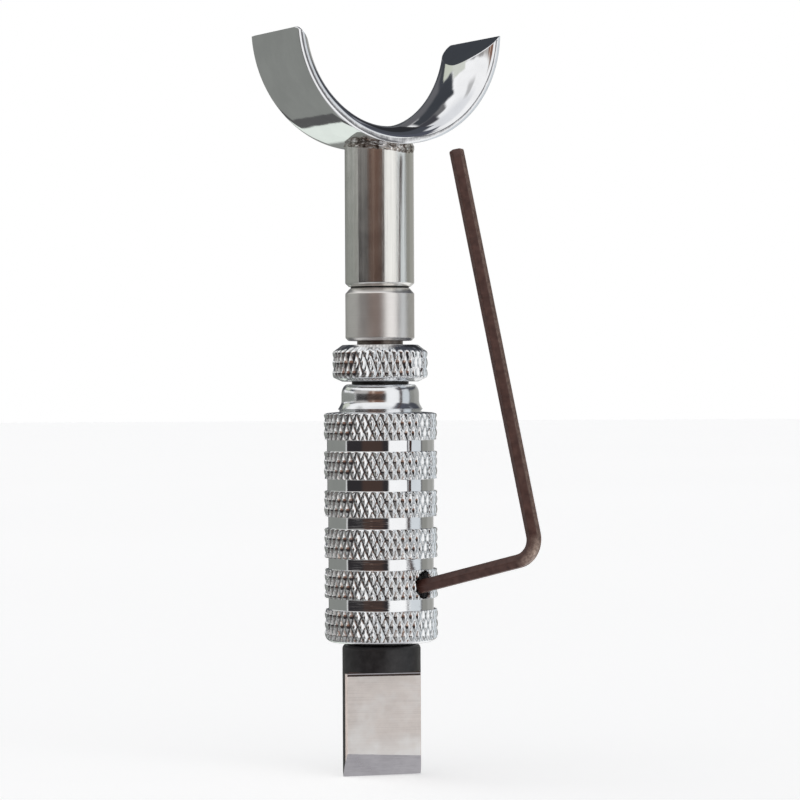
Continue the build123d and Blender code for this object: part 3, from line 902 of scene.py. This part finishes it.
def build_barrel():
    R = 6.6
    kn = Knurl(43, 1.104, 40.86, 0.33, R, 4)
    out = [(3.50, 15.70, False), (4.70, 15.70, False), (4.70, 15.60, False), (5.45, 15.60, False), (5.60, 15.601, False)]
    for r, z in arc(R - 1.0, 16.60, 1.0, -82, -50, 5):
        out.append((r, z, False))
    for r, z in arc(R - 1.0, 16.60, 1.0, -44, -6, 6):
        out.append((r, z, True))
    out.append((R, 16.60, True))
    for z0, z1, r in [(19.38, 20.72, 6.10), (24.04, 25.36, 6.10), (28.75, 30.13, 6.10), (33.08, 34.46, 6.19), (37.64, 38.97, 6.21)]:
        out += [(R, z0 - 0.14, True), (R - 0.14, z0, True)]
        out += [(r + 0.05, z0, False), (r + 0.015, z0 + 0.015, False), (r, z0 + 0.05, False), (r, z0 + 0.08, False)]
        out += [(r, z1 - 0.08, False), (r, z1 - 0.05, False), (r + 0.015, z1 - 0.015, False), (r + 0.05, z1, False)]
        out += [(R - 0.14, z1, True), (R, z1 + 0.14, True)]
    out += [(R, 41.84, True), (R - 0.15, 42.00, True), (R - 0.40, 42.08, True), (5.95, 42.12, False)]
    out += [(5.0, 42.20, False), (4.78, 42.21, False), (4.75, 42.25, False), (4.75, 42.38, False), (4.80, 42.44, False), (4.90, 42.50, False)]
    for i in range(8, -1, -1):
        t = i / 8
        out.append((4.5 + 0.4 * t**1.5, 43.40 - 0.85 * t, False))
    for i in range(1, 4):
        out.append((4.5, 43.40 + (44.25 - 43.40) * i / 3, False))
    for i in range(1, 9):
        a = math.radians(90 * i / 8)
        out.append((3.75 + 0.75 * math.cos(a), 44.25 + 1.15 * math.sin(a), False))
    inner = [(2.80, 45.40), (2.525, 45.13), (2.525, 30.7), (3.20, 30.2), (3.20, 24.5), (3.20, 20.0), (3.20, 16.00)]
    verts, faces, index, h = knurled_lathe(kn, out, inner)
    o = piece("knurled_barrel", verts, faces, "handle", [M_KNURL, M_SMOOTH, M_NECK], ["barrel"], sharp=68, index=index, height=h)
    # the set screw's hole, with a small countersink
    n = 48
    a = math.radians(21.3)
    ax = Vector((math.sin(a), -math.cos(a), 0))
    side = Vector((math.cos(a), math.sin(a), 0))
    tool = []
    for r, d in ((1.45, 2.4), (1.45, 5.85), (1.62, 6.3), (2.05, 7.6)):
        for i in range(n):
            t = 2 * PI * i / n
            p = ax * d + side * (r * math.cos(t)) + UP * (r * math.sin(t)) + UP * 22.32
            tool.append(tuple(p))
    tf = [tuple(range(n)), tuple(range(4 * n - 1, 3 * n - 1, -1))]
    for k in range(3):
        for i in range(n):
            j = (i + 1) % n
            tf.append((k * n + i, (k + 1) * n + i, (k + 1) * n + j, k * n + j))
    cutter = loose("hole_tool", tool, tf, [M_KNURL, M_SMOOTH, M_NECK])
    for p in cutter.data.polygons:
        p.material_index = 1
    fix = bmesh.new()
    fix.from_mesh(cutter.data)
    bmesh.ops.recalc_face_normals(fix, faces=fix.faces)
    fix.to_mesh(cutter.data)
    fix.free()
    combine(o, cutter, "DIFFERENCE")
    crisp(o.data, 68, 24)
    return o


# ------------------------------------------------------------------ blade
def build_blade():
    R, top, sh, root_r = 4.54, 15.32, 12.28, 0.60
    half, slope, ft, bt, az = 1.45, 1.741, -0.043, 0.076, -20.5
    rise, skew = (ft + bt) / 2, (bt - ft) / (2 * slope)
    bevel_top = half * slope + rise * R / math.sqrt(1 + skew**2)
    cols = 144
    st = [(0, -1.0), (R, -1.0), (R, 6.0), (R, 12.0), (R, top - 0.54), (R, top - 0.50), (R - 0.04, top - 0.32), (R - 0.15, top - 0.15), (R - 0.31, top - 0.04), (R - 0.50, top), (R - 0.58, top)]
    st += [(3.175, top), (3.175, 29.2), (2.775, 29.6), (0, 29.6)]
    v, f, _ = lathe(st, cols)
    # the columns lie evenly about the blade's own plane, so that no sliver is left beside a flat
    v = np.asarray(v, float)
    ct, sn = math.cos(math.radians(az + 180 / cols)), math.sin(math.radians(az + 180 / cols))
    v = np.stack([v[:, 0] * ct - v[:, 1] * sn, v[:, 0] * sn + v[:, 1] * ct, v[:, 2]], axis=1)
    o = loose("blade_piece", v, f)
    side = [(half, -2.0)]
    for i in range(0, 9):
        t = math.radians(90 * i / 8)
        side.append((half + root_r * (1 - math.cos(t)), sh - root_r + root_r * math.sin(t)))
    side += [(8.0, sh), (8.0, 40.0)]
    loop = side + [(-y, z) for y, z in side[::-1]]
    n = len(loop)
    ca, sa = math.cos(math.radians(az)), math.sin(math.radians(az))
    tv = []
    for x in (-20.0, 20.0):
        for y, z in loop:
            tv.append((x * ca - y * sa, x * sa + y * ca, z))
    tf = [tuple(range(n)), tuple(range(2 * n - 1, n - 1, -1))]
    for i in range(n):
        j = (i + 1) % n
        tf.append((i, n + i, n + j, j))
    tool = loose("slab_tool", tv, tf)
    fix = bmesh.new()
    fix.from_mesh(tool.data)
    bmesh.ops.recalc_face_normals(fix, faces=fix.faces)
    fix.to_mesh(tool.data)
    fix.free()
    combine(o, tool, "INTERSECT")
    bm = bmesh.new()
    bm.from_mesh(o.data)
    ex, ey = Vector((ca, sa, 0)), Vector((-sa, ca, 0))
    front = (-half * ey + bevel_top * UP, (-ft * ex + slope * ey + UP).normalized())
    back = (half * ey + bevel_top * UP, (-bt * ex - slope * ey + UP).normalized())
    for co, no in (front, back):
        geom = bm.verts[:] + bm.edges[:] + bm.faces[:]
        got = bmesh.ops.bisect_plane(bm, geom=geom, dist=1e-8, plane_co=co * MM, plane_no=no, clear_inner=True)
        edges = [e for e in got["geom_cut"] if isinstance(e, bmesh.types.BMEdge)]
        bmesh.ops.contextual_create(bm, geom=edges)
    bmesh.ops.remove_doubles(bm, verts=bm.verts[:], dist=2e-7)
    bmesh.ops.recalc_face_normals(bm, faces=bm.faces[:])

    def kind(face):
        nn = face.normal
        c = face.calc_center_median() / MM
        if abs(nn.dot(front[1]) + 1) < 1e-3 or abs(nn.dot(back[1]) + 1) < 1e-3:
            return 1
        if abs(abs(nn.dot(ey)) - 1) < 1e-3 and c.z < sh - root_r + 0.02 and abs(abs(c.dot(ey)) - half) < 0.02:
            return 0
        if c.z > sh - root_r - 0.01 and c.z < sh + 0.01 and abs(nn.z) > 0.02:
            return 3
        return 2

    for face in bm.faces:
        face.material_index = kind(face)
    # the long edges of the flats and the tops of the bevels are eased a little
    ease = []
    for e in bm.edges:
        if len(e.link_faces) != 2:
            continue
        pair = sorted(x.material_index for x in e.link_faces)
        if pair in ([0, 2], [0, 1], [1, 2]) and e.calc_face_angle(0) > math.radians(20):
            if max(vv.co.z for vv in e.verts) < (sh - 0.2) * MM:
                ease.append(e)
    long_edges = [e for e in ease if sorted(x.material_index for x in e.link_faces) == [0, 2]]
    short_edges = [e for e in ease if e not in set(long_edges)]
    # the eased long edges take the pale painted-highlight material
    bmesh.ops.bevel(bm, geom=long_edges, offset=0.12 * MM, segments=2, profile=0.6, affect="EDGES", clamp_overlap=True, material=4)
    # painted highlight: the round side is painted pale for about half a millimetre beside each flat
    for face in bm.faces:
        c = face.calc_center_median() / MM
        if face.material_index == 2 and abs(face.normal.z) < 0.02 and c.z < sh - 0.25 and abs(c.dot(ey)) > 0.95:
            face.material_index = 4
    short_edges = [e for e in short_edges if e.is_valid]
    bmesh.ops.bevel(bm, geom=short_edges, offset=0.05 * MM, segments=2, profile=0.6, affect="EDGES", clamp_overlap=True, material=0)
    bm.to_mesh(o.data)
    bm.free()
    me = o.data
    for m in (M_FLAT, M_BEVEL, M_BLADE_OX, M_ROOT, M_EDGE):
        me.materials.append(m)
    me.polygons.foreach_set("use_smooth", np.ones(len(me.polygons), bool))
    bm = bmesh.new()
    bm.from_mesh(me)
    for e in bm.edges:
        if len(e.link_faces) == 2:
            broad = any(x.material_index in (0, 1) and x.calc_area() > 4e-7 for x in e.link_faces)
            e.smooth = e.calc_face_angle(0.0) < math.radians(2.0 if broad else 24.0)
    bm.to_mesh(me)
    bm.free()
    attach(o, "blade")
    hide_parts("blade")
    return o


# ------------------------------------------------------------------ hex key
def build_key():
    tip, corner, hole = Vector((5.279, -8.377, 72.15)), Vector((8.797, -19.428, 25.98)), Vector((2.397, -6.149, 22.32))
    along = (corner - tip).normalized()
    into = (hole - corner).normalized()
    end = hole + into * 1.05
    turn = math.acos(along.dot(into))
    bend = 2.5
    cut = bend * math.tan(turn / 2)
    start, stop = corner - along * cut, corner + into * cut
    inward = (into - along * along.dot(into)).normalized()
    centre = start + inward * bend
    flat = along.cross(into).normalized()
    path = []
    long_len = (start - tip).length
    for i in range(0, 41):
        path.append((tip + along * (long_len * i / 40), along, 0.0))
    steps = 22
    for i in range(1, steps):
        a = turn * i / steps
        radial = -inward * math.cos(a) + along * math.sin(a)
        path.append((centre + radial * bend, (along * math.cos(a) + inward * math.sin(a)).normalized(), math.sin(PI * i / steps)))
    short = (end - stop).length
    for i in range(0, 19):
        path.append((stop + into * (short * i / 18), into, 0.0))
    af, rnd = 1.5, 0.13
    rc = af / math.sqrt(3)
    sec = []
    for k in range(6):
        a = math.radians(60 * k)
        cr = rc - rnd / math.cos(math.radians(30))
        for d, back in ((-29, 0.09), (-28, 0.0), (-12, 0.0), (12, 0.0), (28, 0.0), (29, 0.09)):
            b = a + math.radians(d)
            way = b + math.copysign(math.radians(91), d)
            sec.append((cr * math.cos(a) + rnd * math.cos(b) + back * math.cos(way), cr * math.sin(a) + rnd * math.sin(b) + back * math.sin(way)))
    ns = len(sec)
    rows = []
    first, last = path[0], path[-1]
    rows.append((first[0] + first[1] * 0.0, first[1], 0.0, 0.84))
    rows.append((first[0] + first[1] * 0.05, first[1], 0.0, 0.93))
    rows.append((first[0] + first[1] * 0.16, first[1], 0.0, 1.0))
    rows += [(p, d, w, 1.0) for p, d, w in path[1:-1]]
    rows.append((last[0] - last[1] * 0.16, last[1], 0.0, 1.0))
    rows.append((last[0] - last[1] * 0.05, last[1], 0.0, 0.93))
    rows.append((last[0], last[1], 0.0, 0.84))
    verts, key_highlight = [], []
    for n, (p, d, w, s) in enumerate(rows):
        across = d.cross(flat).normalized()
        if n == 0:
            outside = -1.0 if across.dot(inward) > 0 else 1.0
        wob = 0.010 * noise.noise(Vector((n * 0.35, 2.0, 7.0)))
        for x, y in sec:
            squash = 1.0 - 0.04 * w
            q = p + flat * (x * s * (1 + 0.03 * w)) + across * (y * s * squash + wob)
            verts.append(tuple(q))
            # painted highlight: the outer facet along the whole bar, and the outside of the bend, are marked to be
            # painted paler
            outer = max(0.0, (q - centre).length - bend) if w > 0 else 0.0
            side_highlight = 0.30 if y * outside > 0.5 * af - 0.02 else 0.0
            key_highlight.append(min(1.0, max(side_highlight, w * outer * 1.3)))
    faces = []
    for i in range(len(rows) - 1):
        for j in range(ns):
            k = (j + 1) % ns
            faces.append((i * ns + j, i * ns + k, (i + 1) * ns + k, (i + 1) * ns + j))
    faces.append(tuple(range(ns - 1, -1, -1)))
    faces.append(tuple((len(rows) - 1) * ns + j for j in range(ns)))
    o = piece("key_bar", verts, faces, "hex_key", [M_KEY], ["hex_key"], sharp=50)
    me = o.data
    a = me.attributes.new("key_highlight", "FLOAT", "POINT")
    a.data.foreach_set("value", np.asarray(key_highlight, np.float32))
    bm = bmesh.new()
    bm.from_mesh(me)
    bmesh.ops.recalc_face_normals(bm, faces=bm.faces[:])
    bm.to_mesh(me)
    bm.free()
    me.set_sharp_from_angle(angle=math.radians(50))
    return o


build_yoke()
build_post()
build_braze()
build_spindle()
build_nut()
build_barrel()
build_blade()
build_key()

# ------------------------------------------------------------------ carried-over CAD pieces
FINISH = {
    "set_screw": M_SCREW,
    # the washers take the near-black painted shade
    "swivel_washer": M_WASHER,
    "nut_washer": M_WASHER,
    "bearing_washer": M_WASHER,
    "bearing_screw": M_SCREW,
    "inner_spacer": M_BEARING,
    "outer_spacer": M_BEARING,
}
for prefix in ("lower_bearing", "upper_bearing"):
    FINISH[prefix + "_inner_ring"] = M_BEARING
    FINISH[prefix + "_outer_ring"] = M_BEARING
    FINISH[prefix + "_balls"] = M_BALL
    FINISH[prefix + "_cage"] = M_BRASS
    FINISH[prefix + "_shields"] = M_SHIELD
for node, material in FINISH.items():
    slots = NODES[node].material_slots
    for s in slots:
        s.link = "OBJECT"
        s.material = material
